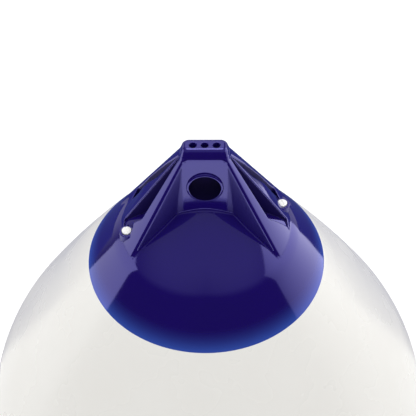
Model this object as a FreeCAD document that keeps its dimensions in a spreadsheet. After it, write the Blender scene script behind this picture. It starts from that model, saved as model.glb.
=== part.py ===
import FreeCAD, Part
import Sketcher
import math
import os
import re
from FreeCAD import Placement, Rotation, Vector

os.makedirs("parts", exist_ok=True)
doc = FreeCAD.newDocument("mooring_buoy")

# Driving dimensions in millimetres and degrees. A rise is a height above the colour line
sizes = {
    # Float: a ball that runs into a long gentle shoulder towards the eye end
    "float_radius": 343.0,
    "shoulder_latitude": 32.7,
    "shoulder_radius": 2943.0,
    "float_wall": 3.0,
    # Colour line: where the end's skin stops, sunk flush into the float
    "rim_radius": 154.6,
    "rim_skin": 1.0,
    "crown_lean": 1.5,
    "crown_flank": 45.0,
    # Dome of the eye end between its wings: a straight flank, a bend and a flat arc
    "dome_flank": 58.6,
    "bend_radius": 60.0,
    "bend_turn": 15.0,
    "dome_radius": 300.0,
    # Rope eye and its raised lip
    "eye_rise": 140.4,
    "eye_radius": 19.0,
    "lip_radius": 22.3,
    "lip_root": 20.6,
    "lip_reach": 21.5,
    "lip_round": 1.5,
    # Block and wings, seen from above, and the cone that their crests follow
    "block_rise": 181.4,
    "block_half_depth": 13.8,
    "block_half_width": 24.0,
    "block_draft": 5.0,
    "wing_angle": 33.8,
    "wing_reach": 120.0,
    "crest_radius": 28.2,
    "crest_half_angle": 32.7,
    "crest_depth": 135.0,
    "crest_round": 2.4,
    "wing_sink": 1.0,
    # Head on top of the block
    "head_rise": 192.8,
    "head_length": 51.5,
    "head_depth": 19.5,
    "head_foot_length": 56.0,
    "head_corner": 8.0,
    "head_round": 2.6,
    # Blind holes in the head
    "pin_hole_radius": 4.25,
    "pin_hole_spacing": 13.5,
    "pin_hole_depth": 14.0,
    # Pocket between two ribs: its three corners as seen from above
    "pocket_near_x": 27.0,
    "pocket_near_y": 4.8,
    "pocket_side_x": 75.0,
    "pocket_side_y": 27.5,
    "pocket_far_x": 104.5,
    "pocket_far_y": 6.4,
    "pocket_corner": 2.6,
    "pocket_tip": 0.9,
    "pocket_edge": 1.2,
    # Valves: where they stand, their boss, insert and screw
    "valve_ring": 100.3,
    "valve_angle": 13.5,
    "valve_rise": 70.4,
    "boss_radius": 8.4,
    "boss_depth": 24.0,
    "groove_radius": 6.9,
    "groove_depth": 1.6,
    "insert_radius": 5.4,
    "insert_length": 21.0,
    "collar_radius": 7.0,
    "collar_level": 3.0,
    "collar_height": 2.0,
    "screw_head_radius": 5.9,
    "screw_head_edge": 1.7,
    "screw_head_height": 2.7,
    "screw_radius": 4.0,
    "screw_length": 15.0,
    "slot_width": 1.5,
    "slot_depth": 1.5,
    "slot_turn": 105.0,
    # How far a shape runs past the one that trims it
    "overrun": 10.0,
}

# Sizes that follow from the driving ones, as formulas of the same sheet
formulas = {
    "shoulder_x": "cos(shoulder_latitude) * (float_radius - shoulder_radius)",
    "shoulder_z": "sin(shoulder_latitude) * (float_radius - shoulder_radius)",
    "rim_cosine": "(rim_radius - shoulder_x) / shoulder_radius",
    "rim_level": "shoulder_z + shoulder_radius * sin(acos(rim_cosine))",
    "rim_inside": "shoulder_x + (shoulder_radius - float_wall) * rim_cosine",
    "rim_slope": "90 + acos(rim_cosine) / 1deg",
    "crown_slope": "rim_slope + crown_lean",
    "eye_height": "rim_level + eye_rise",
    "block_level": "rim_level + block_rise",
    "head_top": "rim_level + head_rise",
    "valve_level": "rim_level + valve_rise",
    "bend_x": "rim_radius + dome_flank * cos(rim_slope) - bend_radius * sin(rim_slope)",
    "bend_z": "rim_level + dome_flank * sin(rim_slope) + bend_radius * cos(rim_slope)",
    "bend_end": "rim_slope - 90 + bend_turn",
    "dome_x": "bend_x - (dome_radius - bend_radius) * cos(bend_end)",
    "dome_z": "bend_z - (dome_radius - bend_radius) * sin(bend_end)",
    "dome_top": "dome_z + sqrt(dome_radius ^ 2 - dome_x ^ 2)",
    "crest_spread": "tan(crest_half_angle)",
    "wing_spread": "tan(wing_angle)",
    "draft_rate": "tan(block_draft)",
    "waist_half_depth": "block_half_depth - overrun * draft_rate",
    "waist_half_width": "block_half_width - overrun * draft_rate / wing_spread",
    "wing_tip": "block_half_depth + (wing_reach - block_half_width) * wing_spread",
    "block_foot_half_depth": "block_half_depth + (block_level - rim_level) * draft_rate",
    "valve_x": "valve_ring * cos(valve_angle)",
    "valve_y": "valve_ring * sin(valve_angle)",
}

sheet = doc.addObject("Spreadsheet::Sheet", "Sizes")
for row, (alias, entry) in enumerate({**sizes, **formulas}.items(), start=1):
    sheet.set(f"A{row}", alias)
    sheet.set(f"B{row}", f"={entry}" if alias in formulas else str(entry))
    sheet.setAlias(f"B{row}", alias)
doc.recompute()


def now(alias):
    """Read a cell's value as a number, for the first guess of a sketch."""
    return float(sheet.get(alias))


def on_sheet(formula):
    """Write a formula's size names as cells of the sheet."""
    def cell(word):
        return f"Sizes.{word[0]}" if word[0] in sizes or word[0] in formulas else word[0]
    return re.sub("[a-z_]+", cell, formula)


def bind(item, **properties):
    """Tie properties to formulas. A double underscore stands for a dot in a path."""
    for path, formula in properties.items():
        item.setExpression(path.replace("__", "."), on_sheet(formula))
    return item


def lift(item, formula):
    """Tie an object's height above the float's centre to a formula."""
    return bind(item, Placement__Base__z=formula)


# Sketch helpers. A sketch's first coordinate is X, and its second is Z, or Y in plan
axis_words = ("none", "first axis", "second axis")
point_words = ("curve", "start", "end", "centre")
origin = ("first axis", "start")


def numbered(where):
    """Turn the words for axes and points into the numbers that a sketch knows them by."""
    known = {word: -index for index, word in enumerate(axis_words)}
    known.update({word: index for index, word in enumerate(point_words)})
    return [known.get(item, item) for item in where]


def as_drawn(sketch, kind, where):
    """Measure what a constraint will hold, so that adding it moves nothing."""
    if kind in ("DistanceX", "DistanceY"):
        step = sketch.getPoint(*where[2:]) - sketch.getPoint(*where[:2])
        return step.x if kind == "DistanceX" else step.y
    item = sketch.Geometry[where[0]]
    if kind == "Radius":
        return item.Radius
    step = item.EndPoint - item.StartPoint
    return step.Length if kind == "Distance" else math.atan2(step.y, step.x)


def rule(sketch, formula, kind, *where):
    """Add a constraint whose value follows a formula."""
    where = numbered(where)
    value = as_drawn(sketch, kind, where)
    index = sketch.addConstraint(Sketcher.Constraint(kind, *where, value))
    sketch.setExpression(f"Constraints[{index}]", on_sheet(formula))


def relate(sketch, kind, *where):
    sketch.addConstraint(Sketcher.Constraint(kind, *numbered(where)))


def add_line(sketch, x1, z1, x2, z2):
    return sketch.addGeometry(Part.LineSegment(Vector(x1, z1, 0), Vector(x2, z2, 0)))


def add_arc(sketch, x, z, radius, first, last):
    """Add an arc about (x, z) that runs anticlockwise between two angles in degrees."""
    circle = Part.Circle(Vector(x, z, 0), Vector(0, 0, 1), radius)
    return sketch.addGeometry(Part.ArcOfCircle(circle, math.radians(first), math.radians(last)))


def add_polygon(sketch, corners):
    """Add a closed outline whose corners are pairs of formulas."""
    turn = 2 * math.pi / len(corners)
    ring = [Vector(math.cos(i * turn), math.sin(i * turn), 0) for i in range(len(corners))]
    sides = [sketch.addGeometry(Part.LineSegment(point, ring[i - len(ring) + 1]))
             for i, point in enumerate(ring)]
    for i, (across, up) in enumerate(corners):
        relate(sketch, "Coincident", sides[i - 1], "end", sides[i], "start")
        rule(sketch, across, "DistanceX", *origin, sides[i], "start")
        rule(sketch, up, "DistanceY", *origin, sides[i], "start")


def upright_sketch(name):
    """A free sketch in the XZ plane, for a turned shape."""
    sketch = doc.addObject("Sketcher::SketchObject", name)
    sketch.Placement = Placement(Vector(0, 0, 0), Rotation(Vector(1, 0, 0), 90))
    return sketch


def origin_plane(body, role):
    return next(item for item in body.Origin.OriginFeatures if item.Role == role)


def body_sketch(body, name, role):
    sketch = body.newObject("Sketcher::SketchObject", name)
    sketch.AttachmentSupport = [(origin_plane(body, role), "")]
    sketch.MapMode = "FlatFace"
    return sketch


def turn_about_z(item, sketch):
    """Set a body's turned feature to a full turn of its sketch about the upright axis."""
    item.Profile = sketch
    item.ReferenceAxis = (sketch, ["V_Axis"])
    item.Angle = 360.0
    return item


# The step at the colour line and the float's crown below the eye end's skin. The crown
# leans in a little more than the skin above it, so the skin grows from its edge inwards
def add_crown(sketch, rim_x, rim_z):
    lean = math.radians(now("crown_slope"))
    step = math.radians(now("rim_slope") + 90)
    x1 = rim_x + now("rim_skin") * math.cos(step)
    z1 = rim_z + now("rim_skin") * math.sin(step)
    x2 = x1 + now("crown_flank") * math.cos(lean)
    z2 = z1 + now("crown_flank") * math.sin(lean)
    radius = x2 / math.sin(lean)
    edge = add_line(sketch, rim_x, rim_z, x1, z1)
    flank = add_line(sketch, x1, z1, x2, z2)
    cap = add_arc(sketch, 0, z2 + radius * math.cos(lean), radius, math.degrees(lean) - 90, 90)
    rule(sketch, "rim_skin", "Distance", edge)
    relate(sketch, "Coincident", edge, "end", flank, "start")
    rule(sketch, "crown_slope", "Angle", flank)
    rule(sketch, "crown_flank", "Distance", flank)
    relate(sketch, "Tangent", flank, "end", cap, "start")
    relate(sketch, "PointOnObject", cap, "centre", "second axis")
    relate(sketch, "PointOnObject", cap, "end", "second axis")
    return edge, cap


def close_on_axis(sketch, first, last):
    """Close an outline along the axis, from the end of one piece to the start of another."""
    axis = add_line(sketch, 0, now("dome_top"), 0, 0)
    relate(sketch, "Coincident", first, "end", axis, "start")
    relate(sketch, "Coincident", axis, "end", last, "start")


def draw_float(sketch, inset, rim_x):
    """Half outline of the float, moved inwards by a number of millimetres."""
    ball = now("float_radius") - inset
    shoulder = now("shoulder_radius") - inset
    slope = now("rim_slope") - 90
    rim_z = now("shoulder_z") + shoulder * math.sin(math.radians(slope))
    belly = add_arc(sketch, 0, 0, ball, -90, now("shoulder_latitude"))
    side = add_arc(sketch, now("shoulder_x"), now("shoulder_z"), shoulder,
                   now("shoulder_latitude"), slope)
    edge, cap = add_crown(sketch, now(rim_x), rim_z)
    relate(sketch, "Coincident", belly, "centre", *origin)
    relate(sketch, "PointOnObject", belly, "start", "second axis")
    relate(sketch, "Tangent", belly, "end", side, "start")
    rule(sketch, "shoulder_x", "DistanceX", *origin, side, "centre")
    rule(sketch, rim_x, "DistanceX", *origin, side, "end")
    relate(sketch, "Perpendicular", side, "end", edge, "start")
    close_on_axis(sketch, cap, belly)
    return belly, side


# Float: one hollow moulding, turned outside and inside
float_body = doc.addObject("PartDesign::Body", "FloatBody")
float_body.Label = "float_body"

outside = body_sketch(float_body, "FloatOutside", "XZ_Plane")
belly, side = draw_float(outside, 0.0, "rim_radius")
rule(outside, "float_radius", "Radius", belly)
rule(outside, "shoulder_radius", "Radius", side)
turn_about_z(float_body.newObject("PartDesign::Revolution", "FloatSkin"), outside)
doc.recompute()

inside = body_sketch(float_body, "FloatInside", "XZ_Plane")
belly, side = draw_float(inside, now("float_wall"), "rim_inside")
rule(inside, "float_radius - float_wall", "Radius", belly)
rule(inside, "shoulder_radius - float_wall", "Radius", side)
turn_about_z(float_body.newObject("PartDesign::Groove", "FloatCavity"), inside)
doc.recompute()

bore_sketch = body_sketch(float_body, "ValveBorePlan", "XY_Plane")
bore_circle = bore_sketch.addGeometry(Part.Circle(Vector(now("valve_x"), now("valve_y"), 0),
                                                  Vector(0, 0, 1), now("insert_radius")))
rule(bore_sketch, "insert_radius", "Radius", bore_circle)
rule(bore_sketch, "valve_x", "DistanceX", *origin, bore_circle, "centre")
rule(bore_sketch, "valve_y", "DistanceY", *origin, bore_circle, "centre")
bore = float_body.newObject("PartDesign::Pocket", "ValveBore")
bore.Profile = bore_sketch
bore.Type = "Length"
bore.Reversed = True
bind(bore, Length="dome_top")
doc.recompute()
bores = float_body.newObject("PartDesign::PolarPattern", "ValveBores")
bores.Originals = [bore]
bores.Axis = (bore_sketch, ["N_Axis"])
bores.Angle = 360.0
bores.Occurrences = 2
float_body.Tip = bores
doc.recompute()


# Helpers for the shapes that are built from solids rather than in a body
def solid(kind, name, **properties):
    item = doc.addObject(f"Part::{kind}", name)
    for key, value in properties.items():
        setattr(item, key, value)
    return item


def cut(name, base, tool):
    return solid("Cut", name, Base=base, Tool=tool)


def fuse(name, *shapes):
    return solid("MultiFuse", name, Shapes=list(shapes), Refine=True)


def turned(name, sketch):
    return solid("Revolution", name, Source=sketch, Axis=Vector(0, 0, 1), Solid=True)


def cylinder(name, radius, height, level):
    """An upright cylinder that stands on a level."""
    return lift(bind(solid("Cylinder", name), Radius=radius, Height=height), level)


def plan_sketch(name, level, corners):
    """A level sketch with a closed outline of straight sides."""
    sketch = lift(doc.addObject("Sketcher::SketchObject", name), level)
    add_polygon(sketch, corners)
    return sketch


def rounded(name, base, choices):
    """Round edges of a shape. Each choice is a size's name and a test for its edges."""
    doc.recompute()
    edges = []
    for alias, test in choices:
        edges += [(index, now(alias), now(alias))
                  for index, edge in enumerate(base.Shape.Edges, start=1) if test(edge)]
    item = solid("Fillet", name, Base=base, Edges=edges)
    doc.recompute()
    return item


def middle(edge):
    """The point half way along an edge."""
    return edge.valueAt((edge.FirstParameter + edge.LastParameter) / 2)


def add_dome(sketch):
    """Line of the dome: up from the colour line, over a bend and in to the axis."""
    slope = math.radians(now("rim_slope"))
    turn = now("bend_end")
    length = now("dome_flank")
    dome, dome_x = now("dome_radius"), now("dome_x")
    flank = add_line(sketch, now("rim_radius"), now("rim_level"),
                     now("rim_radius") + length * math.cos(slope),
                     now("rim_level") + length * math.sin(slope))
    bend = add_arc(sketch, now("bend_x"), now("bend_z"), now("bend_radius"),
                   now("rim_slope") - 90, turn)
    top = add_arc(sketch, dome_x, now("dome_z"), dome, turn, math.degrees(math.acos(-dome_x / dome)))
    rule(sketch, "rim_radius", "DistanceX", *origin, flank, "start")
    rule(sketch, "rim_level", "DistanceY", *origin, flank, "start")
    rule(sketch, "rim_slope", "Angle", flank)
    rule(sketch, "dome_flank", "Distance", flank)
    relate(sketch, "Tangent", flank, "end", bend, "start")
    relate(sketch, "Tangent", bend, "end", top, "start")
    rule(sketch, "bend_radius", "Radius", bend)
    rule(sketch, "dome_radius", "Radius", top)
    rule(sketch, "dome_x", "DistanceX", *origin, top, "centre")
    relate(sketch, "PointOnObject", top, "end", "second axis")
    return flank, top


# Skin of the eye end from the colour line up. Its underside lies on the float's crown
skin_sketch = upright_sketch("SkinOutline")
flank, top = add_dome(skin_sketch)
edge, crown = add_crown(skin_sketch, now("rim_radius"), now("rim_level"))
relate(skin_sketch, "Coincident", edge, "start", flank, "start")
relate(skin_sketch, "Perpendicular", edge, flank)
axis = add_line(skin_sketch, 0, now("dome_top"), 0, now("dome_top") - now("overrun"))
relate(skin_sketch, "Coincident", top, "end", axis, "start")
relate(skin_sketch, "Coincident", axis, "end", crown, "end")
skin = turned("Skin", skin_sketch)

# What lies under the dome, to trim the feet of the wings and of the valve bosses
under_sketch = upright_sketch("UnderOutline")
flank, top = add_dome(under_sketch)
axis = add_line(under_sketch, 0, now("dome_top"), 0, now("rim_level"))
foot = add_line(under_sketch, 0, now("rim_level"), now("rim_radius"), now("rim_level"))
relate(under_sketch, "Coincident", top, "end", axis, "start")
relate(under_sketch, "Coincident", axis, "end", foot, "start")
relate(under_sketch, "Coincident", foot, "end", flank, "start")
relate(under_sketch, "PointOnObject", foot, "start", "second axis")
relate(under_sketch, "Horizontal", foot)
under = lift(turned("UnderDome", under_sketch), "-wing_sink")


def extruded(name, sketch, length, symmetric=False):
    item = solid("Extrusion", name, Base=sketch, DirMode="Normal", Solid=True,
                 Symmetric=symmetric)
    return bind(item, LengthFwd=length)


# Block and wings are a bow tie in plan. The wings' flanks stand upright
flank_corners = [("waist_half_width", "-waist_half_depth"), ("wing_reach", "-wing_tip"),
                 ("wing_reach", "wing_tip"), ("waist_half_width", "waist_half_depth")]
flank_corners += [("-" + x, y) for x, y in reversed(flank_corners)]
flank_plan = plan_sketch("WingPlan", "rim_level", flank_corners)
wing_slab = extruded("WingSlab", flank_plan, "block_level + overrun - rim_level")

# The block's front and back lean out a little towards their foot
block_side = doc.addObject("Sketcher::SketchObject", "BlockSide")
block_side.Placement = Placement(Vector(0, 0, 0), Rotation(Vector(1, 1, 1), 120))
add_polygon(block_side, [("-block_foot_half_depth", "rim_level"),
                         ("block_foot_half_depth", "rim_level"),
                         ("waist_half_depth", "block_level + overrun"),
                         ("-waist_half_depth", "block_level + overrun")])
block = extruded("Block", block_side, "2 * wing_reach", symmetric=True)
bow_tie = fuse("BowTie", wing_slab, block)

# The crests of all ribs lie on one cone
crests = bind(solid("Cone", "CrestCone"), Height="crest_depth + overrun",
              Radius2="crest_radius - overrun * crest_spread",
              Radius1="crest_radius + crest_depth * crest_spread")
lift(crests, "block_level - crest_depth")
crests.Placement = Placement(crests.Placement.Base, Rotation(Vector(0, 0, 1), 90))
wings = solid("MultiCommon", "Wings", Shapes=[bow_tie, crests])

# Two pockets in each wing, open at the top, leave three ribs
pocket_corners = [("pocket_near_x", "pocket_near_y"), ("pocket_far_x", "pocket_far_y"),
                  ("pocket_side_x", "pocket_side_y")]
pocket_plan = plan_sketch("PocketPlan", "rim_level", pocket_corners)
pocket = extruded("PocketSharp", pocket_plan, "head_top - rim_level")


def is_upright(edge):
    first, last = (vertex.Point for vertex in edge.Vertexes)
    return math.hypot(first.x - last.x, first.y - last.y) < 0.01


def is_side_corner(edge):
    return is_upright(edge) and middle(edge).y > now("pocket_side_y") - 0.1


def is_sharp_corner(edge):
    return is_upright(edge) and not is_side_corner(edge)


pocket = rounded("Pocket", pocket, [("pocket_corner", is_side_corner),
                                    ("pocket_tip", is_sharp_corner)])
pocket_pair = solid("Compound", "PocketPair", Links=[
    pocket, solid("Mirroring", "PocketBehind", Source=pocket, Normal=Vector(0, 1, 0))])
pocket_twins = solid("Mirroring", "PocketPairLeft", Source=pocket_pair, Normal=Vector(1, 0, 0))
ribs = cut("RibsRight", wings, pocket_pair)
ribs = cut("Ribs", ribs, pocket_twins)
doc.recompute()


def on_crest(edge):
    """Whether an edge lies on the cone of the crests, clear of its two ends."""
    point = middle(edge)
    drop = now("block_level") - point.z
    radius = now("crest_radius") + drop * now("crest_spread")
    inside = -now("overrun") < drop - 0.1 and drop + 0.1 < now("crest_depth")
    return inside and abs(math.hypot(point.x, point.y) - radius) < 0.02


def is_outer_edge(edge):
    point = middle(edge)
    beside_block = abs(point.x) < now("block_half_width")
    return on_crest(edge) and (beside_block or abs(point.y) > now("pocket_side_y"))


def is_pocket_edge(edge):
    return on_crest(edge) and not is_outer_edge(edge)


ribs = rounded("RibsSoftened", ribs, [("crest_round", is_outer_edge),
                                      ("pocket_edge", is_pocket_edge)])
above = cylinder("AboveBlock", "wing_reach", "2 * overrun", "block_level")
ribs = cut("RibsTrimmed", cut("RibsLevel", ribs, above), under)

# Head: a tapered slab over the block with rounded corners and a rounded top
def slab_sketch(name, level, half_length, half_depth):
    return plan_sketch(name, level, [(f"{x}{half_length}", f"{y}{half_depth}")
                                     for x, y in (("-", "-"), ("", "-"), ("", ""), ("-", ""))])


head = solid("Loft", "HeadSharp", Solid=True, Ruled=True, Sections=[
    slab_sketch("HeadFoot", "block_level", "head_foot_length / 2", "block_half_depth"),
    slab_sketch("HeadTop", "head_top", "head_length / 2", "head_depth / 2")])


def is_head_corner(edge):
    return abs(edge.Vertexes[0].Z - edge.Vertexes[1].Z) > 1


def is_head_rim(edge):
    return middle(edge).z > now("head_top") - 0.01


head = rounded("HeadCorners", head, [("head_corner", is_head_corner)])
head = rounded("Head", head, [("head_round", is_head_rim)])

# Lip of the rope eye: a rounded tube through the block
def across(name, radius):
    """A level cylinder along Y at the rope eye."""
    item = bind(solid("Cylinder", name), Radius=radius, Height="2 * lip_reach",
                Placement__Base__y="lip_reach")
    lift(item, "eye_height")
    item.Placement = Placement(item.Placement.Base, Rotation(Vector(1, 0, 0), 90))
    return item


def is_ring(edge):
    return edge.Curve.TypeId == "Part::GeomCircle"


lip = cut("LipSharp", across("LipOutside", "lip_radius"), across("LipBore", "eye_radius"))
lip = rounded("Lip", lip, [("lip_round", is_ring)])

# Valve bosses
def at_valves(name, radius, height, level):
    """Upright cylinders at both valves."""
    return [bind(cylinder(name + side, radius, height, level),
                 Placement__Base__x=f"{sign}valve_x", Placement__Base__y=f"{sign}valve_y")
            for side, sign in (("Right", ""), ("Left", "-"))]


bosses = solid("Compound", "Bosses", Links=at_valves("Boss", "boss_radius", "boss_depth",
                                                     "valve_level - boss_depth"))
bosses = cut("BossesTrimmed", bosses, under)
moulding = fuse("MouldingSolid", skin, ribs, bosses, head)
moulding = cut("MouldingBored", moulding, across("LipSeat", "lip_root"))
moulding = fuse("MouldingWithLip", moulding, lip)

# Everything that is cut into the moulding from above
pin_holes = []
for place in (-1, 0, 1):
    hole = cylinder(f"PinHole{place + 2}", "pin_hole_radius", "pin_hole_depth + overrun",
                    "head_top - pin_hole_depth")
    pin_holes.append(bind(hole, Placement__Base__x=f"{place} * pin_hole_spacing"))
openings = pin_holes
openings += at_valves("Recess", "boss_radius", "2 * overrun", "valve_level")
openings += at_valves("Groove", "groove_radius", "groove_depth + overrun",
                      "valve_level - groove_depth")
openings += at_valves("InsertHole", "insert_radius", "insert_length",
                      "valve_level - insert_length")
openings += at_valves("CollarHole", "collar_radius", "collar_height",
                      "valve_level - collar_level - collar_height")
eye_end = cut("EyeEnd", moulding, solid("Compound", "Openings", Links=openings))
eye_end.Label = "eye_end"

# Valves: a threaded insert in each boss, and a slotted screw that closes it
screw_sketch = upright_sketch("ScrewOutline")
radius, edge_z = now("screw_head_radius"), now("screw_head_edge")
crown_rise = now("screw_head_height") - edge_z
crown_radius = (radius ** 2 + crown_rise ** 2) / (2 * crown_rise)
corners = [(0, -now("screw_length")), (now("screw_radius"), -now("screw_length")),
           (now("screw_radius"), 0), (radius, 0), (radius, edge_z)]
lines = [add_line(screw_sketch, *first, *last) for first, last in zip(corners, corners[1:])]
crown = add_arc(screw_sketch, 0, edge_z + crown_rise - crown_radius, crown_radius,
                math.degrees(math.acos(radius / crown_radius)), 90)
axis = add_line(screw_sketch, 0, edge_z + crown_rise, 0, -now("screw_length"))
chain = lines + [crown, axis]
for first, last in zip(chain, chain[1:] + chain[:1]):
    relate(screw_sketch, "Coincident", first, "end", last, "start")
for line, kind in zip(lines, ("Horizontal", "Vertical", "Horizontal", "Vertical")):
    relate(screw_sketch, kind, line)
relate(screw_sketch, "PointOnObject", lines[0], "start", "second axis")
relate(screw_sketch, "PointOnObject", crown, "end", "second axis")
relate(screw_sketch, "PointOnObject", crown, "centre", "second axis")
relate(screw_sketch, "PointOnObject", lines[2], "start", "first axis")
rule(screw_sketch, "-screw_length", "DistanceY", *origin, lines[0], "start")
rule(screw_sketch, "screw_radius", "DistanceX", *origin, lines[1], "start")
rule(screw_sketch, "screw_head_radius", "DistanceX", *origin, lines[3], "start")
rule(screw_sketch, "screw_head_edge", "DistanceY", *origin, lines[3], "end")
rule(screw_sketch, "screw_head_height", "DistanceY", *origin, crown, "end")
screw_solid = turned("ScrewTurned", screw_sketch)

slot = bind(solid("Box", "Slot"), Length="2 * (screw_head_radius + overrun)",
            Width="slot_width", Height="slot_depth + overrun",
            Placement__Base__x="-cos(slot_turn) * (screw_head_radius + overrun)"
                               " + sin(slot_turn) * slot_width / 2",
            Placement__Base__y="-sin(slot_turn) * (screw_head_radius + overrun)"
                               " - cos(slot_turn) * slot_width / 2",
            Placement__Base__z="screw_head_height - slot_depth")
slot.Placement = Placement(slot.Placement.Base, Rotation(Vector(0, 0, 1), now("slot_turn")))

sleeve = cylinder("Sleeve", "insert_radius", "insert_length", "-insert_length")
collar = cylinder("Collar", "collar_radius", "collar_height", "-collar_level - collar_height")
thread = cylinder("ThreadBore", "screw_radius", "insert_length + 2 * overrun",
                  "-insert_length - overrun")

pieces = [float_body, eye_end]
for side, sign in (("left", "-"), ("right", "")):
    insert = cut(f"Insert{side.title()}", fuse(f"InsertSolid{side.title()}", sleeve, collar),
                 thread)
    screw = cut(f"Screw{side.title()}", screw_solid, slot)
    for item, label in ((insert, "valve_insert"), (screw, "valve_screw")):
        item.Label = f"{label}_{side}"
        bind(item, Placement__Base__x=f"{sign}valve_x", Placement__Base__y=f"{sign}valve_y",
             Placement__Base__z="valve_level - eye_height")
        pieces.append(item)

# The origin of the whole part is the middle of the rope eye
for item in (float_body, eye_end):
    lift(item, "-eye_height")
doc.recompute()

for item in doc.Objects:
    assert "Invalid" not in item.State and "Error" not in item.State, item.Name
for piece in pieces:
    assert piece.Shape.isValid() and len(piece.Shape.Solids) == 1, piece.Label
    piece.Shape.exportStep(f"parts/{piece.Label}.step")
    print(piece.Label, round(piece.Shape.Volume / 1000, 1), "cubic centimetres")
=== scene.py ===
import math

import bpy
import numpy as np
from mathutils import Euler, Matrix, Vector


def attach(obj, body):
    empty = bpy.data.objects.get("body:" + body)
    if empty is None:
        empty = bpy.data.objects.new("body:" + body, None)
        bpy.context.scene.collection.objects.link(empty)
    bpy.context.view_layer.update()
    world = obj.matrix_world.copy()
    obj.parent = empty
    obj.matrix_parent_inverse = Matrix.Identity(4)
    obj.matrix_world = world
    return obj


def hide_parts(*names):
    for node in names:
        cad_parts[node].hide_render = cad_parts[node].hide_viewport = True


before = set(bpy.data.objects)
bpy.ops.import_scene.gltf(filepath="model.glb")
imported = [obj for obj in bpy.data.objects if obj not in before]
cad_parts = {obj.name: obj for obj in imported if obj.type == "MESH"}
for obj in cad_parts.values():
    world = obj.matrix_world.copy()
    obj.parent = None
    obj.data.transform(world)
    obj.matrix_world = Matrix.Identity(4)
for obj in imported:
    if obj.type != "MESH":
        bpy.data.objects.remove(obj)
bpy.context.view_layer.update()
scene = bpy.context.scene

# Float: half a ball that runs into a long gentle shoulder, a step at the colour line, and the
# crown that carries the eye end; all lengths are in mm
floatShape = dict(radius=343.0, latitude=32.7, shoulder=2943.0, rim=154.6, skin=1.3, lean=1.5,
                  flank=45.0, edge=0.35, spacing=5.0, flankSpacing=3.0, capSpacing=4.0,
                  steps=288)
edgeSpacing = 0.1  # between points round a thin edge
eyeRise = 140.4  # the rope eye, which is the part's origin, above the colour line
tiny = 1e-9


# the shoulder's centre (R - S)(cos l, sin l), the colour line's height on the shoulder, and
# the angle of the outline there: a right angle more than the shoulder's own angle
def colourLine(shape):
    latitude = math.radians(shape["latitude"])
    reach = shape["radius"] - shape["shoulder"]
    centre = (reach * math.cos(latitude), reach * math.sin(latitude))
    rise = math.acos((shape["rim"] - centre[0]) / shape["shoulder"])
    return centre, centre[1] + shape["shoulder"] * math.sin(rise), 90 + math.degrees(rise)


shoulderAt, rimLevel, rimSlope = colourLine(floatShape)
eyeHeight = rimLevel + eyeRise  # from the float's centre


# a hex colour as it is seen, turned linear by the sRGB curve, with alpha 1
def colour(code):
    seen = np.array([int(code[i:i + 2], 16) for i in (1, 3, 5)]) / 255
    linear = np.where(seen <= 0.04045, seen / 12.92, ((seen + 0.055) / 1.055) ** 2.4)
    return (*linear.tolist(), 1.0)


# a node of the given kind, with its socket values, its links by socket, and its settings;
# a socket goes by its name, or by its number: 1 to 4 are the two ranges of a MapRange, and a
# Mix has its share at 0, its numbers at 2 and 3, and its colours at 6 and 7
def addNode(tree, kind, values=None, links=None, **settings):
    node = tree.nodes.new("ShaderNode" + kind)
    for name, value in settings.items():
        setattr(node, name, value)
    for socket, value in (values or {}).items():
        node.inputs[socket].default_value = value
    for socket, source in (links or {}).items():
        tree.links.new(source, node.inputs[socket])
    return node


# a smooth mesh from points in mm above the float's centre, moved down to the rope eye and
# turned into metres; the surface's own directions are its normals where they are given, and
# second marks the faces that take the second material
def makePiece(name, points, faces, materials, slot, replaced, normals=None, second=None):
    mesh = bpy.data.meshes.new(name)
    mesh.from_pydata(((points - [0, 0, eyeHeight]) / 1000).tolist(), [], faces)
    mesh.polygons.foreach_set("use_smooth", np.ones(len(mesh.polygons), bool))
    for material in materials:
        mesh.materials.append(material)
    if second is not None:
        mesh.polygons.foreach_set("material_index", second.astype(np.int32))
    mesh.update()
    if normals is not None:
        mesh.normals_split_custom_set_from_vertices(normals.tolist())
    piece = bpy.data.objects.new(name, mesh)
    scene.collection.objects.link(piece)
    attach(piece, "root")
    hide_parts(replaced)
    print(f"{name}: {sum(len(face) - 2 for face in faces)} triangles")


# a profile of (radius, height) turned about the upright axis through centre: x = r cos a and
# y = r sin a; an end on the axis closes in a pole, and a profile with none is a closed ring
def turn(profile, steps, centre=(0.0, 0.0)):
    angle = np.arange(steps) * 2 * np.pi / steps
    poles = profile[:, 0] < tiny
    rings = profile[~poles]
    count = len(rings)
    points = np.stack([rings[:, :1] * np.cos(angle) + centre[0],
                       rings[:, :1] * np.sin(angle) + centre[1],
                       np.repeat(rings[:, 1:], steps, axis=1)], axis=-1).reshape(-1, 3)
    here = np.arange(steps)
    onward = (here + 1) % steps
    low = np.arange(count - 1 if poles.any() else count)[:, None] * steps
    high = (low + steps) % (count * steps)
    faces = np.stack([low + here, low + onward, high + onward, high + here],
                     axis=-1).reshape(-1, 4).tolist()
    if poles[0]:
        faces += np.stack([np.full(steps, len(points)), onward, here], axis=-1).tolist()
        points = np.vstack([points, [*centre, profile[0, 1]]])
    if poles[-1]:
        last = (count - 1) * steps
        faces += np.stack([np.full(steps, len(points)), last + here, last + onward],
                          axis=-1).tolist()
        points = np.vstack([points, [*centre, profile[-1, 1]]])
    return points, faces


# points (x + R cos a, y + R sin a) from one angle to another in degrees, about spacing apart
def arc(x, y, radius, first, last, spacing):
    count = max(2, round(abs(math.radians(last - first)) * radius / spacing) + 1)
    angle = np.radians(np.linspace(first, last, count))
    return np.column_stack([x + radius * np.cos(angle), y + radius * np.sin(angle)])


# points start + t (end - start) for t from 0 to 1, about spacing apart
def straight(start, end, spacing):
    start, end = np.array(start, float), np.array(end, float)
    count = max(2, round(np.linalg.norm(end - start) / spacing) + 1)
    return start + np.linspace(0, 1, count)[:, None] * (end - start)


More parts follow.
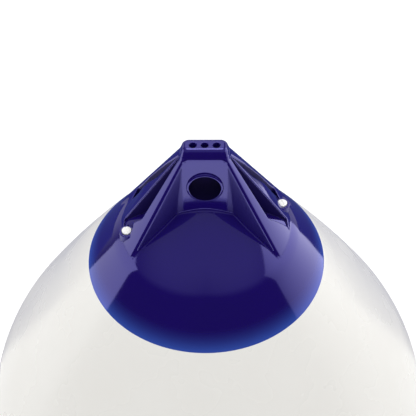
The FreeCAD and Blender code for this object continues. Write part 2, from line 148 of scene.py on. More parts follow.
# runs of a profile one after another, with a point that repeats the one before left out
def chain(*runs):
    closest = 0.04
    profile = np.vstack(runs)
    apart = np.linalg.norm(np.diff(profile, axis=0), axis=1) > closest
    return profile[np.r_[True, apart]]


# a step along the profile at the colour line: out is away from the shoulder, up is along it
def acrossRim():
    slope = math.radians(rimSlope)
    return (np.array([math.sin(slope), -math.cos(slope)]),
            np.array([math.cos(slope), math.sin(slope)]))


# Materials: in each look, the patches, the orange peel and the waves are given by their size
# and depth in mm
noiseSpan = (0.3, 0.7)  # between these lie nearly all of a noise's values
blueTint = (0.92, 0.88, 2.25)  # of the blue vinyl's gloss


# Principled surface with the look's colour mixed to its shade by broad noise, roughness
# between two values by the same noise, and two bumps: orange peel and the mould's long waves
def plastic(name, look, tint=None):
    material = bpy.data.materials.new(name)
    material.use_nodes = True
    tree = material.node_tree
    shader = tree.nodes["Principled BSDF"]
    place = addNode(tree, "TexCoord").outputs["Object"]
    patches = addNode(tree, "TexNoise", {"Scale": 1000 / look["patch"], "Detail": 3.0},
                      {"Vector": place})
    surface = addNode(tree, "Mix", {6: colour(look["colour"]), 7: colour(look["shade"])},
                      {0: patches.outputs["Fac"]}, data_type="RGBA").outputs[2]
    if tint:
        surface = tint(tree, place, surface)
    tree.links.new(surface, shader.inputs["Base Color"])
    low, high = look["roughness"]
    gloss = addNode(tree, "MapRange", {1: noiseSpan[0], 2: noiseSpan[1], 3: low, 4: high},
                    {0: patches.outputs["Fac"]})
    if "drawn" in look:
        gloss = drawnSides(tree, place, gloss, look["drawn"])
    tree.links.new(gloss.outputs[0], shader.inputs["Roughness"])
    shader.inputs["IOR"].default_value = look["ior"]
    waves = addNode(tree, "TexNoise", {"Scale": 1000 / look["wave"], "Detail": 1.0},
                    {"Vector": place})
    peel = addNode(tree, "TexNoise", {"Scale": 1000 / look["peel"], "Detail": 2.0},
                   {"Vector": place})
    long = addNode(tree, "Bump", {"Strength": 1.0, "Distance": look["waveDepth"] / 1000},
                   {"Height": waves.outputs["Fac"]})
    fine = addNode(tree, "Bump", {"Strength": 1.0, "Distance": look["peelDepth"] / 1000},
                   {"Height": peel.outputs["Fac"], "Normal": long.outputs["Normal"]})
    tree.links.new(fine.outputs["Normal"], shader.inputs["Normal"])
    shader.inputs["Specular IOR Level"].default_value = look.get("specular", 0.5)
    shader.inputs["Specular Tint"].default_value = (*look.get("glossTint", (1, 1, 1)), 1.0)
    return material


# adds roughness where the surface stands upright, which its normal's height tells, and lies
# beyond a distance in metres from the middle, as the mould's side walls are drawn and not
# polished; both limits are soft
def drawnSides(tree, place, gloss, drawn):
    upright, slanting = drawn["upright"]
    normal = addNode(tree, "SeparateXYZ",
                     links={0: addNode(tree, "TexCoord").outputs["Normal"]}).outputs["Z"]
    steep = addNode(tree, "Math", links={0: normal}, operation="ABSOLUTE")
    wall = addNode(tree, "MapRange", {1: upright, 2: slanting, 3: drawn["more"], 4: 0.0},
                   {0: steep.outputs[0]})
    across = addNode(tree, "SeparateXYZ", links={0: place}).outputs["X"]
    away = addNode(tree, "Math", links={0: across}, operation="ABSOLUTE")
    inner, outer = drawn["middle"]
    beyond = addNode(tree, "MapRange", {1: inner, 2: outer}, {0: away.outputs[0]})
    return addNode(tree, "Math", links={0: wall.outputs[0], 1: beyond.outputs[0],
                                        2: gloss.outputs[0]}, operation="MULTIPLY_ADD")


# Vinyl (plasticised PVC), rotation moulded: white all through, with a soft gloss, a faint
# unevenness from the mould and a few matter patches from handling
def whiteVinyl(name):
    look = dict(colour="#f4f3ef", shade="#efede8", roughness=(0.22, 0.34), patch=90.0,
                peel=2.6, peelDepth=0.01, wave=70.0, waveDepth=0.12, ior=1.54)
    return plastic(name, look)


# Vinyl dyed blue through, from a polished mould: a strong wet gloss that takes on some of the
# blue, over a deep colour that is thin, and so lighter, in the last centimetres before the
# colour line
def blueVinyl(name):
    look = dict(colour="#1d0d67", shade="#1a0b60", roughness=(0.06, 0.1), patch=60.0,
                peel=1.8, peelDepth=0.004, wave=45.0, waveDepth=0.08, ior=1.54,
                specular=1.0, glossTint=blueTint, rim="#3856b6", rimDepth=24.0,
                drawn=dict(more=0.3, middle=(0.0255, 0.0275), upright=(0.12, 0.28)))

    # the rim's colour at the colour line, mixed to the blue above it by (1 - t) squared
    def thinRim(tree, place, surface):
        height = addNode(tree, "SeparateXYZ", links={0: place}).outputs["Z"]
        low = -eyeRise / 1000
        left = addNode(tree, "MapRange", {1: low, 2: low + look["rimDepth"] / 1000, 3: 1.0,
                                          4: 0.0}, {0: height}).outputs[0]
        share = addNode(tree, "Math", links={0: left, 1: left}, operation="MULTIPLY")
        return addNode(tree, "Mix", {7: colour(look["rim"])},
                       {0: share.outputs[0], 6: surface}, data_type="RGBA").outputs[2]

    return plastic(name, look, thinRim)


# The blue inside the rope eye, matt where the mould's core pin drew out; its much darker
# # colour is painted shade deep in the eye
def boreVinylPaintedShade(name):
    look = dict(colour="#0c0530", shade="#0a0428", roughness=(0.6, 0.7), patch=12.0,
                peel=0.8, peelDepth=0.02, wave=9.0, waveDepth=0.05, ior=1.54, specular=0.02)
    return plastic(name, look)


# The ribs' blue in their pockets, matt where the mould's cores stood; its darker colour is
# # painted shade in the hollows
def pocketVinylPaintedShade(name):
    look = dict(colour="#180a58", shade="#15084e", roughness=(0.5, 0.6), patch=30.0,
                peel=1.2, peelDepth=0.01, wave=20.0, waveDepth=0.05, ior=1.54, specular=0.25,
                glossTint=blueTint)
    return plastic(name, look)


# Nylon, injection moulded: off-white, with the fine matt grain of the tool
def whiteNylon(name):
    look = dict(colour="#fbfbf9", shade="#f6f5f1", roughness=(0.34, 0.46), patch=4.0,
                peel=0.4, peelDepth=0.008, wave=6.0, waveDepth=0.02, ior=1.53)
    return plastic(name, look)


white = whiteVinyl("white_vinyl_moulded")
blue = blueVinyl("blue_vinyl_moulded")
# the bore's material paints the shade inside the rope eye into its colour
borePaintedShade = boreVinylPaintedShade("blue_vinyl_bore_painted_shade")
# the pockets' material paints the shade in the hollows into its colour
pocketPaintedShade = pocketVinylPaintedShade("blue_vinyl_pocket_painted_shade")
nylon = whiteNylon("white_nylon_moulded")
for node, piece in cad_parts.items():
    if node.startswith("valve"):
        for place in piece.material_slots:
            place.material = nylon
print("materials made")


# the float's outline from its bottom to the top of the crown; the crown's flank leans in a
# little more than the slope, and its cap is the arc about the axis that touches the flank
def floatOutline(shape):
    rim = np.array([shape["rim"], rimLevel])
    out, up = acrossRim()
    edge = shape["edge"]
    corner = rim - out * edge - up * edge
    lean = math.radians(rimSlope + shape["lean"])
    foot = rim - out * shape["skin"]
    flank = foot + shape["flank"] * np.array([math.cos(lean), math.sin(lean)])
    cap = flank[0] / math.sin(lean)
    side = rimSlope + shape["lean"] - 90
    capAt = flank[1] + cap * math.cos(lean)
    return chain(
        [[0, -shape["radius"]]],
        arc(0, 0, shape["radius"], -90, shape["latitude"], shape["spacing"])[1:],
        arc(*shoulderAt, shape["shoulder"], shape["latitude"],
            rimSlope - 90 - math.degrees(edge / shape["shoulder"]), shape["spacing"]),
        arc(*corner, edge, rimSlope - 90, rimSlope, edgeSpacing),
        straight(foot, flank, shape["flankSpacing"]),
        arc(0, capAt, cap, side, 90, shape["capSpacing"])[:-1],
        [[0, capAt + cap]])


makePiece("floatSkin", *turn(floatOutline(floatShape), floatShape["steps"]), [white],
          "white_vinyl", "float_body")

# Eye end: a skin over the crown, from the colour line up a straight flank, round a bend and
# over a flat dome; the ribs stand on it
dome = dict(flank=58.6, bend=60.0, turn=15.0, radius=300.0, edge=0.35, underLift=0.2,
            underFrom=1.5, spacing=1.6, steps=384)


# the centres of the bend and of the dome, each one radius inside the end of the run before
def domeCentres(shape):
    out, up = acrossRim()
    bendAt = np.array([floatShape["rim"], rimLevel]) + up * shape["flank"] - out * shape["bend"]
    end = rimSlope - 90 + shape["turn"]
    ray = np.array([math.cos(math.radians(end)), math.sin(math.radians(end))])
    return bendAt, bendAt - ray * (shape["radius"] - shape["bend"]), end


bendAt, domeAt, bendEnd = domeCentres(dome)


# the outside as one run of (radius, height), from the colour line to the axis
def domeOutside(shape):
    top = math.degrees(math.acos(-domeAt[0] / shape["radius"]))
    bend = arc(*bendAt, shape["bend"], rimSlope - 90, bendEnd, shape["spacing"])
    return chain(straight((floatShape["rim"], rimLevel), bend[0], shape["spacing"]), bend,
                 arc(*domeAt, shape["radius"], bendEnd, top, shape["spacing"]))


# distance above the dome's outside: from its cone below the bend, and from the circle of the
# bend or of the dome by the side of the rays from the bend's centre that the point lies on
def aboveDome(x, y, z, shape=dome):
    radius = np.hypot(x, y)
    out = acrossRim()[0]
    flank = (radius - floatShape["rim"]) * out[0] + (z - rimLevel) * out[1]
    angle = np.degrees(np.arctan2(z - bendAt[1], radius - bendAt[0]))
    bend = np.hypot(radius - bendAt[0], z - bendAt[1]) - shape["bend"]
    arch = np.hypot(radius - domeAt[0], z - domeAt[1]) - shape["radius"]
    return np.where(angle < rimSlope - 90, flank, np.where(angle < bendEnd, bend, arch))


# the skin's whole outline: its underside a little above the crown, the thin edge rounded at
# the colour line, and the outside
def skinOutline(shape):
    outside = domeOutside(shape)
    out, up = acrossRim()
    edge = shape["edge"]
    corner = np.array([floatShape["rim"], rimLevel]) - out * edge + up * edge
    crown = floatOutline(floatShape)[::-1]
    crown = crown[crown[:, 1] > rimLevel + shape["underFrom"]]
    ahead = np.gradient(crown, axis=0)
    ahead /= np.linalg.norm(ahead, axis=1)[:, None]
    under = crown + np.column_stack([-ahead[:, 1], ahead[:, 0]]) * shape["underLift"]
    under[0, 0] = 0.0
    return chain(under, arc(*corner, edge, rimSlope - 180, rimSlope - 90, edgeSpacing),
                 outside[1:-1], [[0, outside[-1, 1]]])


makePiece("eyeEndSkin", *turn(skinOutline(dome), dome["steps"]), [blue], "blue_vinyl",
          "eye_end")
print("float and eye end skin made")

# Ribs: a block with two wings, hollowed by four pockets, under a head with three blind holes;
# heights are above the rope eye, and a pair that ends in Over is where a soft change starts
# and how far it runs
ribs = dict(blockTop=41.0, blockHalf=(24.0, 13.8), draft=4.4, headLean=19.6, shoulder=1.0,
            backward=(1.8, 3.4), backwardOver=(20, 14), wingAngle=33.8,
            flankDraft=(-1.8, 3.2), draftOver=(0, 36), flankSteep=1.08,
            crestRadius=28.2, crestAngle=32.7, crestDepth=135.0, crestRound=4.6,
            rearLift=0.066, rearOver=(-0.04, 0.36), valveOver=(9, 22), inner=0.7,
            frontPocket=((27.0, 4.2), (101.5, -0.8), (102.5, 9.5), (76.5, 27.3)),
            backPocket=((30.0, -1.5), (57.0, 5.5), (95.0, 33.5), (87.0, 44.0)),
            pocketRound=2.2, pocketEdge=2.2, pocketFace=0.15, flankFoot=2.6, crestFoot=0.8,
            footSoft=3.0, footSpread=0.25, footDepth=1.5,
            headTop=52.4, headHalf=(28.0, 25.75), headCorner=8.0, headRound=5.6,
            headOverlap=2, headTaperEnd=1.2, headFillet=3.0, frontFillet=0.05,
            filletOver=(20, 6), eye=20.5, eyeEdge=0.6, holeRadius=4.25, holeSpacing=13.5,
            holeDepth=14.0, holeEdge=0.7, recess=8.6, recessFloor=-72.6, recessEdge=1.0)
ribsGrid = dict(x=(-128.0, (-32, 1.3), (32, 0.95), (128, 1.3)),  # start, (stop, spacing) ...
                y=(-76.0, (-24, 1.3), (24, 0.95), (76, 1.3)),
                z=(-101.0, (27, 1.3), (56, 0.85)))
valve = dict(place=(97.53, 23.42), level=-70.0, boss=9.4, groove=6.9, grooveDepth=1.6,
             insert=5.42, foot=-85.0, edge=1.0, sideSpacing=1.5, roundSpacing=0.12,
             grooveSpacing=0.5, insideSpacing=2.0, underSpacing=1.0, steps=72)


# the smaller of two distances, less h^2 / 4k where h = k - |a - b| is above 0: a union with
# a fillet about k wide; with both signs turned it is a common part with rounded edges
def fillet(a, b, k):
    overlap = np.maximum(k - np.abs(a - b), 0)
    return np.minimum(a, b) - overlap ** 2 / (4 * k)


def common(a, b, k):
    return -fillet(-a, -b, k)


# 3 t^2 - 2 t^3 with t = (value - start) / run held between 0 and 1: a step with soft ends
def ease(value, start, run):
    t = np.clip((value - start) / run, 0, 1)
    return t * t * (3 - 2 * t)


# distance outside the straight line from one corner to the next, walked anticlockwise
def beside(x, y, first, second):
    along = np.subtract(second, first) / np.hypot(*np.subtract(second, first))
    return (x - first[0]) * along[1] - (y - first[1]) * along[0]


# distance outside a pocket: the common part of the insides of its edges, corners rounded
def pocket(x, y, corners, shape):
    hollow = beside(x, y, corners[-1], corners[0])
    for first, second in zip(corners, corners[1:]):
        hollow = common(hollow, beside(x, y, first, second), shape["pocketRound"])
    return hollow


# distance outside both pockets of the wing at +X, the smaller of the two
def inPockets(x, y, shape):
    return np.minimum(pocket(x, -y, shape["frontPocket"], shape),
                      pocket(x, y, shape["backPocket"], shape))


# half the depth of block and head at a height: the block's draft below, the head's lean
# above, with a soft bend between them
def halfDepth(rise, shape=ribs):
    draft, lean = (math.tan(math.radians(shape[k])) for k in ("draft", "headLean"))
    return fillet(shape["blockHalf"][1] - rise * draft, shape["blockHalf"][1] - rise * lean,
                  shape["shoulder"])


# block and wings, under the cone of their crests, less the pockets, all as distances, and
# beside it how far the crest lies outside the flank. The flank runs along the crest's line in
# plan and leans out below it, y = line + (drop - the crest's drop) tan d; the back is a little
# deeper than the front, more so out along the wings, and the crest rises above the cone from
# the middle rib backwards, but not round the valve
def ribBody(x, y, z, shape=ribs):
    x = np.abs(x)
    hollow = inPockets(x, y, shape)
    draft, angle, cone = (math.radians(shape[k]) for k in ("draft", "wingAngle", "crestAngle"))
    near, far = (math.tan(math.radians(steep)) for steep in shape["flankDraft"])
    clear = ease(np.hypot(x - valve["place"][0], y - valve["place"][1]), *shape["valveOver"])
    halfWidth, deep = shape["blockHalf"]
    drop = shape["blockTop"] - z
    out = x - halfWidth
    rear = ease(y / np.maximum(x, 1), *shape["rearOver"]) * clear
    crest = (np.hypot(x, y) - shape["crestRadius"] - drop * math.tan(cone)) * math.cos(cone)
    crest = crest - shape["rearLift"] * np.maximum(out, 0) * rear
    block, wing = shape["backward"]
    y = np.abs(y) - np.clip(y, 0, 1) * (block + wing * ease(x, *shape["backwardOver"]))
    line = deep + out * math.tan(angle)
    lean = near + (far - near) * ease(out, *shape["draftOver"])
    lineDrop = (np.hypot(x, line) - shape["crestRadius"]) / math.tan(cone)
    flank = (y - line - lean * (drop - lineDrop)) * math.cos(angle) * shape["flankSteep"]
    side = fillet((y - halfDepth(-drop)) * math.cos(draft), flank, shape["inner"])
    body = common(side, crest, shape["crestRound"])
    body = np.maximum(body, drop - shape["crestDepth"])
    return common(body, -hollow, shape["pocketEdge"]), crest - side


# distance outside the head: a level rounded rectangle that narrows upwards, with a rounded top
def headBody(x, y, z, shape=ribs):
    rise = z - shape["blockTop"]
    share = np.clip(rise / (shape["headTop"] - shape["blockTop"]), 0, shape["headTaperEnd"])
    foot, top = shape["headHalf"]
    corner = shape["headCorner"]
    aside = np.abs(x) - foot + (foot - top) * share + corner
    ahead = np.abs(y) - np.clip(y, 0, 1) * shape["backward"][0] - halfDepth(rise) + corner
    wall = (np.hypot(np.maximum(aside, 0), np.maximum(ahead, 0))
            + np.minimum(np.maximum(aside, ahead), 0) - corner)
    head = common(wall, z - shape["headTop"], shape["headRound"])
    return np.maximum(head, -shape["headOverlap"] - rise)


# the whole shape: ribs cut level at the block's top with the head over them, one face in
# front and a fillet at the head's corners, standing on the dome in a fillet that is small at
# the crests; cut off a little outside that fillet and below the dome; then the holes
def ribShape(x, y, z, shape=ribs):
    z = z - eyeHeight
    body, beyond = ribBody(x, y, z)
    start, run = shape["filletOver"]
    blend = (shape["frontFillet"]
             + shape["headFillet"] * np.clip((np.abs(x) - start) / run, 0, 1))
    ribsOnly = fillet(np.maximum(body, z - shape["blockTop"]), headBody(x, y, z), blend)
    ground = aboveDome(x, y, z + eyeHeight)
    foot = (shape["flankFoot"] + (shape["crestFoot"] - shape["flankFoot"])
            * np.clip(beyond / shape["footSoft"] + 0.5, 0, 1))
    outside = np.maximum(ribsOnly - foot, 0)
    solid = fillet(ribsOnly, ground + shape["footSpread"] * outside ** 2, foot)
    solid = np.maximum(solid, np.maximum(ribsOnly - foot - 1, -ground - shape["footDepth"]))
    solid = common(solid, shape["eye"] - np.hypot(x, z), shape["eyeEdge"])
    for place in (-1, 0, 1):
        hole = np.maximum(np.hypot(x - place * shape["holeSpacing"], y) - shape["holeRadius"],
                          shape["headTop"] - shape["holeDepth"] - z)
        solid = common(solid, -hole, shape["holeEdge"])
    for side in (-1, 1):
        seat = np.maximum(np.hypot(x - side * valve["place"][0], y - side * valve["place"][1])
                          - shape["recess"], shape["recessFloor"] - z)
        solid = common(solid, -seat, shape["recessEdge"])
    return solid


# slope of a distance at points, by differences over a small reach in mm each way
def slopeOf(distance, points, reach=0.01):
    return np.column_stack([(distance(*(points + s).T) - distance(*(points - s).T))
                            / (2 * reach) for s in np.eye(3) * reach])


# the surface where a distance is 0, as a net: one point in each cell of the grid that the
# surface passes, at the mean of its crossings, and one face over each crossed grid line; the
# points then move along the slope g onto the surface, p - d g / |g|^2, in a few rounds of half
# a millimetre at most, with |g|^2 held above a least value
def netSurface(distance, axes, rounds=5, longest=0.5, least=0.2):
    grid = [a.astype(np.float32) for a in np.meshgrid(*axes, indexing="ij")]
    value = distance(*grid)
    inside = value < 0
    cells = np.array(value.shape)
    total = np.zeros((value.size, 3))
    crossings = np.zeros(value.size)
    quads = []
    for axis in range(3):
        u, v = (axis + 1) % 3, (axis + 2) % 3
        near = [slice(None)] * 3
        far = [slice(None)] * 3
        near[axis], far[axis] = slice(None, -1), slice(1, None)
        near, far = tuple(near), tuple(far)
        at = np.argwhere(inside[near] != inside[far])
        first = value[near][tuple(at.T)].astype(float)
        second = value[far][tuple(at.T)].astype(float)
        place = np.column_stack([axes[n][at[:, n]] for n in range(3)])
        place[:, axis] += (first / (first - second)
                           * (axes[axis][at[:, axis] + 1] - axes[axis][at[:, axis]]))
        around = []
        for du, dv in ((-1, -1), (0, -1), (0, 0), (-1, 0)):
            cell = at.copy()
            cell[:, u] += du
            cell[:, v] += dv
            index = np.ravel_multi_index(cell.T, cells)
            around.append(index)
            crossings += np.bincount(index, minlength=value.size)
            for n in range(3):
                total[:, n] += np.bincount(index, place[:, n], value.size)
        quad = np.column_stack(around)
        inward = first > 0
        quad[inward] = quad[inward][:, ::-1]
        quads.append(quad)
    used = np.flatnonzero(crossings)
    number = np.zeros(value.size, int)
    number[used] = np.arange(len(used))
    points = total[used] / crossings[used][:, None]
    for _ in range(rounds):
        slope = slopeOf(distance, points)
        size = np.maximum((slope ** 2).sum(axis=1), least)
        step = (distance(*points.T) / size)[:, None] * slope
        length = np.linalg.norm(step, axis=1)[:, None]
        points -= step * np.minimum(1, longest / np.maximum(length, tiny))
    normals = slopeOf(distance, points)
    normals /= np.maximum(np.linalg.norm(normals, axis=1), tiny)[:, None]
    return points, number[np.vstack(quads)].tolist(), normals


# grid lines from one stop to the next, each stretch with its own spacing
def gridLines(start, *stretches):
    lines = [np.array([start])]
    for end, spacing in stretches:
        count = round((end - lines[-1][-1]) / spacing)
        lines.append(np.linspace(lines[-1][-1], end, count + 1)[1:])
    return np.concatenate(lines)


# the net of the ribs' surface, with the matt material, whose darker colour is painted shade,
# # on the faces that lie in a pocket
def makeRibs(shape, grid):
    axes = (gridLines(*grid["x"]), gridLines(*grid["y"]), gridLines(*grid["z"]) + eyeHeight)
    points, faces, normals = netSurface(ribShape, axes)
    middle = points[np.array(faces)].mean(axis=1)
    hollow = inPockets(np.abs(middle[:, 0]), middle[:, 1], shape)
    makePiece("eyeEndRibs", points, faces, [blue, pocketPaintedShade], "blue_vinyl", "eye_end",
              normals, second=hollow < shape["pocketFace"])


makeRibs(ribs, ribsGrid)

# Lip of the rope eye: a ring with round edges, turned about Y through the block; its rims
# lean by half the block's draft, so that it is shorter at the top
lip = dict(inside=18.7, outside=22.1, reach=19.4, lean=2.2, outerRound=2.4, innerRound=0.9,
           boreFace=0.25, spacing=2.0, outerSpacing=0.25, innerSpacing=0.2, steps=128)


# the ring's profile turned about Y, with each y then made y (1 - z tan a / R) for a lean of a
# # and a reach of R; the faces of the bore take the matt material, whose darker colour is
# painted shade
def makeLip(shape):
    long, outer, inner = (shape[k] for k in ("spacing", "outerSpacing", "innerSpacing"))
    big, small, end = shape["outerRound"], shape["innerRound"], shape["reach"]
    shoulder, throat = shape["outside"] - big, shape["inside"] + small
    profile = chain(
        straight((shape["outside"], -end + big), (shape["outside"], end - big), long),
        arc(shoulder, end - big, big, 0, 90, outer),
        arc(throat, end - small, small, 90, 180, inner),
        straight((shape["inside"], end - small), (shape["inside"], -end + small), long),
        arc(throat, -end + small, small, 180, 270, inner),
        arc(shoulder, -end + big, big, 270, 360, outer))[:-1]
    points, faces = turn(profile, shape["steps"])
    lean = 1 + points[:, 1] * math.tan(math.radians(shape["lean"])) / end
    across = np.column_stack([points[:, 0], points[:, 2] * lean, -points[:, 1]])
    middle = points[np.array(faces)].mean(axis=1)
    # faces in the bore, which take the painted shade
    inBore = np.hypot(middle[:, 0], middle[:, 1]) < shape["inside"] + shape["boreFace"]
    makePiece("eyeLip", across + [0, 0, eyeHeight], faces, [blue, borePaintedShade], "blue_vinyl",
              "eye_end", second=inBore)


makeLip(lip)


# Seat of a valve: a ring with a rounded top edge and a groove round the insert, as a profile
# turned about the valve's own upright axis; side is -1 or 1
def makeSeat(name, shape, side):
    boss, groove, insert, edge = (shape[k] for k in ("boss", "groove", "insert", "edge"))
    top, foot = shape["level"] + eyeHeight, shape["foot"] + eyeHeight
    floor, half = top - shape["grooveDepth"], edge / 2
    profile = chain(
        straight((boss, foot), (boss, top - edge), shape["sideSpacing"]),
        arc(boss - edge, top - edge, edge, 0, 90, shape["roundSpacing"]),
        arc(groove + half, top - half, half, 90, 180, edgeSpacing),
        straight((groove, top - edge), (groove, floor + half), shape["grooveSpacing"]),
        arc(groove - half, floor + half, half, 360, 270, edgeSpacing),
        straight((groove - edge, floor), (insert, floor), shape["grooveSpacing"]),
        straight((insert, floor), (insert, foot), shape["insideSpacing"]),
        straight((insert, foot), (boss, foot), shape["underSpacing"]))[:-1]
    centre = (side * shape["place"][0], side * shape["place"][1])
    makePiece(name, *turn(profile, shape["steps"], centre), [blue], "blue_vinyl", "eye_end")


makeSeat("valveSeatLeft", valve, -1)
makeSeat("valveSeatRight", valve, 1)
print("ribs, lip and valve seats made")

# Studio: a wide white floor, even pale light with soft boxes at both sides, behind and above,
# and what the gloss shows: white cards in dark drapes, as they stand round a glossy product;
# the floor's level, the drapes' foot and their spacing are in mm, and the rest is in metres
studio = dict(floorLevel=-862.0, floorRadius=25.0, floorSides=128, floorColour="#e6e6e6",
              floorLift=0.27, skyLevel=0.87, drapeRadius=3.0, drapeFoot=2.0,
              drapeSpacing=150.0, drapeSides=96, drapeLow=0.01, drapeHigh=0.2, drapeBack=0.5,
              highFrom=(1.7, 2.8), highAside=0.25, backFrom=(1.2, 2.2), lowFrom=(1.7, 1.1),
              clothRadius=(0.6, 2.95), clothFrom=(28, 153), clothSides=48, clothLift=0.002,
              clothLevel=0.235, clothColour="#8b9cff")
softBoxes = [  # name, azimuth from +X, elevation, distance m, width m, height m, brightness
    ("boxLeft", 150, 32, 2.0, 1.2, 1.2, 0.5),
    ("boxRight", 25, 28, 2.0, 1.6, 1.6, 0.35),
    ("boxAbove", 90, 82, 1.9, 1.2, 1.2, 1.5),
    ("boxBehind", 82, 32, 2.5, 3.0, 1.5, 1.3),
]
cards = [  # name, azimuth, elevation, distance m, width m, height m, glow at its two sides
    ("cardLeft", 170, 2, 1.7, 1.04, 1.55, (0.97, 0.97)),
    ("cardRight", 12.5, 8, 1.7, 1.85, 1.9, (0.42, 1.85)),
    ("cardBehind", 92, 43, 1.9, 1.4, 0.8, (0.72, 0.72)),
    ("cardAbove", 90, 70, 1.9, 1.4, 0.8, (2.3, 2.3)),
]


# 1 for a ray that the eye sees straight, mirrored or through glass, and 0 for any other
def sightRays(tree):
    path = addNode(tree, "LightPath")
    sight = addNode(tree, "Math", links={0: path.outputs["Is Camera Ray"],
                                         1: path.outputs["Is Glossy Ray"]}, operation="ADD")
    return addNode(tree, "Math", links={0: sight.outputs[0],
                                        1: path.outputs["Is Transmission Ray"]},
                   operation="ADD").outputs[0]


# a white floor whose lit parts come out white to the eye and in reflections, by a little
# light of its own that only those rays see, so that the object's shadow stays on it
def makeFloor(shape):
    sides = shape["floorSides"]
    angle = np.arange(sides) * 2 * np.pi / sides
    points = np.column_stack([shape["floorRadius"] * np.cos(angle),
                              shape["floorRadius"] * np.sin(angle),
                              np.full(sides, shape["floorLevel"] / 1000)])
    mesh = bpy.data.meshes.new("floor")
    mesh.from_pydata(points.tolist(), [], [list(range(sides))])
    material = bpy.data.materials.new("white_paper_sweep")
    material.use_nodes = True
    tree = material.node_tree
    shader = tree.nodes["Principled BSDF"]
    shader.inputs["Base Color"].default_value = colour(shape["floorColour"])
    shader.inputs["Roughness"].default_value = 0.9
    shader.inputs["Emission Color"].default_value = colour("#ffffff")
    lift = addNode(tree, "Math", {1: shape["floorLift"]}, {0: sightRays(tree)},
                   operation="MULTIPLY")
    tree.links.new(lift.outputs[0], shader.inputs["Emission Strength"])
    mesh.materials.append(material)
    floor = bpy.data.objects.new("floor", mesh)
    scene.collection.objects.link(floor)


# a mesh whose material glows by a strength, a number or a function that makes its nodes, and
# which shows in reflections alone
def hang(name, finish, mesh, strength, glowColour="#ffffff"):
    material = bpy.data.materials.new(finish)
    material.use_nodes = True
    tree = material.node_tree
    tree.nodes.remove(tree.nodes["Principled BSDF"])
    glow = addNode(tree, "Emission", {"Color": colour(glowColour)})
    if callable(strength):
        tree.links.new(strength(tree), glow.inputs["Strength"])
    else:
        glow.inputs["Strength"].default_value = strength
    tree.links.new(glow.outputs[0], tree.nodes["Material Output"].inputs["Surface"])
    mesh.materials.append(material)
    item = bpy.data.objects.new(name, mesh)
    item.visible_camera = item.visible_diffuse = item.visible_shadow = False
    item.visible_transmission = item.visible_volume_scatter = False
    scene.collection.objects.link(item)
    return item


# dark drapes: a dome about the part, dim at its sides, brighter overhead, where z + a |x| is
# large, and pale low down behind; they throw no shadow and no light, and show in reflections
# alone
def makeDrapes(shape):
    radius, low = shape["drapeRadius"] * 1000, shape["floorLevel"] + shape["drapeFoot"]
    side = math.degrees(math.asin(low / radius))
    profile = np.vstack([arc(0, 0, radius, side, 90, shape["drapeSpacing"])[:-1],
                         [[0, radius]]])
    points, faces = turn(profile, shape["drapeSides"])
    mesh = bpy.data.meshes.new("drapes")
    mesh.from_pydata((points / 1000).tolist(), [], faces)

    # the side's level, eased to the overhead level, then mixed to the back's level
    def level(tree):
        place = addNode(tree, "SeparateXYZ",
                        links={0: addNode(tree, "TexCoord").outputs["Object"]})
        aside = addNode(tree, "Math", links={0: place.outputs["X"]}, operation="ABSOLUTE")
        height = addNode(tree, "Math", {1: shape["highAside"]},
                         {0: aside.outputs[0], 2: place.outputs["Z"]},
                         operation="MULTIPLY_ADD")
        over = addNode(tree, "MapRange", {1: shape["highFrom"][0], 2: shape["highFrom"][1],
                                          3: shape["drapeLow"], 4: shape["drapeHigh"]},
                       {0: height.outputs[0]}, interpolation_type="SMOOTHSTEP")
        behind = addNode(tree, "MapRange", {1: shape["backFrom"][0], 2: shape["backFrom"][1]},
                         {0: place.outputs["Y"]}, interpolation_type="SMOOTHSTEP")
        under = addNode(tree, "MapRange", {1: shape["lowFrom"][0], 2: shape["lowFrom"][1]},
                        {0: place.outputs["Z"]}, interpolation_type="SMOOTHSTEP")
        share = addNode(tree, "Math", links={0: behind.outputs[0], 1: under.outputs[0]},
                        operation="MULTIPLY")
        return addNode(tree, "Mix", {3: shape["drapeBack"]},
                       {0: share.outputs[0], 2: over.outputs[0]}, data_type="FLOAT").outputs[0]

    hang("drapes", "black_cloth_drapes", mesh, level)


# blue cloth on the floor behind, seen by the gloss alone: the part of a ring between two radii
# and two azimuths, just above the floor
def makeCloth(shape):
    inner, outer = shape["clothRadius"]
    sides = shape["clothSides"]
    angle = np.radians(np.linspace(*shape["clothFrom"], sides + 1))
    ring = np.column_stack([np.cos(angle), np.sin(angle), np.zeros(sides + 1)])
    points = np.vstack([ring * inner, ring * outer])
    points[:, 2] = shape["floorLevel"] / 1000 + shape["clothLift"]
    here = np.arange(sides)
    faces = np.column_stack([here, here + sides + 1, here + sides + 2, here + 1]).tolist()
    mesh = bpy.data.meshes.new("floorCloth")
    mesh.from_pydata(points.tolist(), [], faces)
    hang("floorCloth", "blue_floor_cloth", mesh, shape["clothLevel"], shape["clothColour"])


# the place at an azimuth, elevation and distance from the part, and the turn that faces it
def around(azimuth, elevation, distance):
    az, el = math.radians(azimuth), math.radians(elevation)
    away = Vector((math.cos(az) * math.cos(el), math.sin(az) * math.cos(el), math.sin(el)))
    return away * distance, away.to_track_quat("Z", "Y").to_euler()


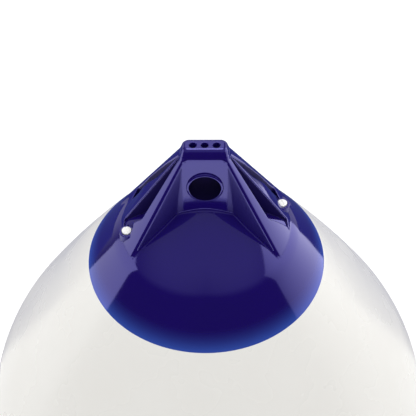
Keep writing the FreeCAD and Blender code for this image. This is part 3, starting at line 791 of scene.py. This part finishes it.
# a soft box that lights but doesn't mirror, with power = brightness times pi times its area
def makeSoftBox(name, azimuth, elevation, distance, width, height, brightness):
    lamp = bpy.data.lights.new(name, "AREA")
    lamp.shape = "RECTANGLE"
    lamp.size, lamp.size_y = width, height
    lamp.energy = brightness * math.pi * width * height
    box = bpy.data.objects.new(name, lamp)
    box.location, box.rotation_euler = around(azimuth, elevation, distance)
    box.visible_camera = box.visible_glossy = False
    scene.collection.objects.link(box)


# a white card that mirrors but doesn't light, with a glow that runs evenly from side to side
def makeCard(name, azimuth, elevation, distance, width, height, glow):
    mesh = bpy.data.meshes.new(name)
    corners = np.array([(-1, -1, 0), (1, -1, 0), (1, 1, 0), (-1, 1, 0)]) / 2
    mesh.from_pydata((corners * [width, height, 0]).tolist(), [], [(0, 1, 2, 3)])
    shine = mesh.attributes.new("glow", "FLOAT", "POINT")
    shine.data.foreach_set("value", [glow[0], glow[1], glow[1], glow[0]])
    card = hang(name, name, mesh, lambda tree: addNode(
        tree, "Attribute", attribute_name="glow").outputs["Fac"])
    card.location, card.rotation_euler = around(azimuth, elevation, distance)


makeFloor(studio)
makeDrapes(studio)
makeCloth(studio)
for softBox in softBoxes:
    makeSoftBox(*softBox)
for card in cards:
    makeCard(*card)
world = bpy.data.worlds.new("pale_room")
scene.world = world
world.use_nodes = True
sky = world.node_tree.nodes["Background"]
sky.inputs["Color"].default_value = colour("#ffffff")
level = addNode(world.node_tree, "MapRange", {3: studio["skyLevel"], 4: 1.0},
                {0: sightRays(world.node_tree)})
world.node_tree.links.new(level.outputs[0], sky.inputs["Strength"])

# Camera: above and in front, looking down on the eye end
view = dict(place=(0.01275, -0.6764, 0.6747), tilt=42.90, orbit=1.08, roll=-0.79,
            sensor=36.0, lens=69.37, shift=0.00596)
camera = bpy.data.objects.new("camera", bpy.data.cameras.new("camera"))
camera.data.sensor_width = view["sensor"]
camera.data.lens = view["lens"]
camera.data.shift_x = view["shift"]
camera.location = view["place"]
turned = (Euler((math.radians(view["tilt"]), 0, math.radians(view["orbit"]))).to_matrix()
          @ Matrix.Rotation(math.radians(view["roll"]), 3, "Z"))
camera.rotation_euler = turned.to_euler()
scene.collection.objects.link(camera)
scene.camera = camera
scene.view_settings.view_transform = "Standard"
print("studio and camera made")
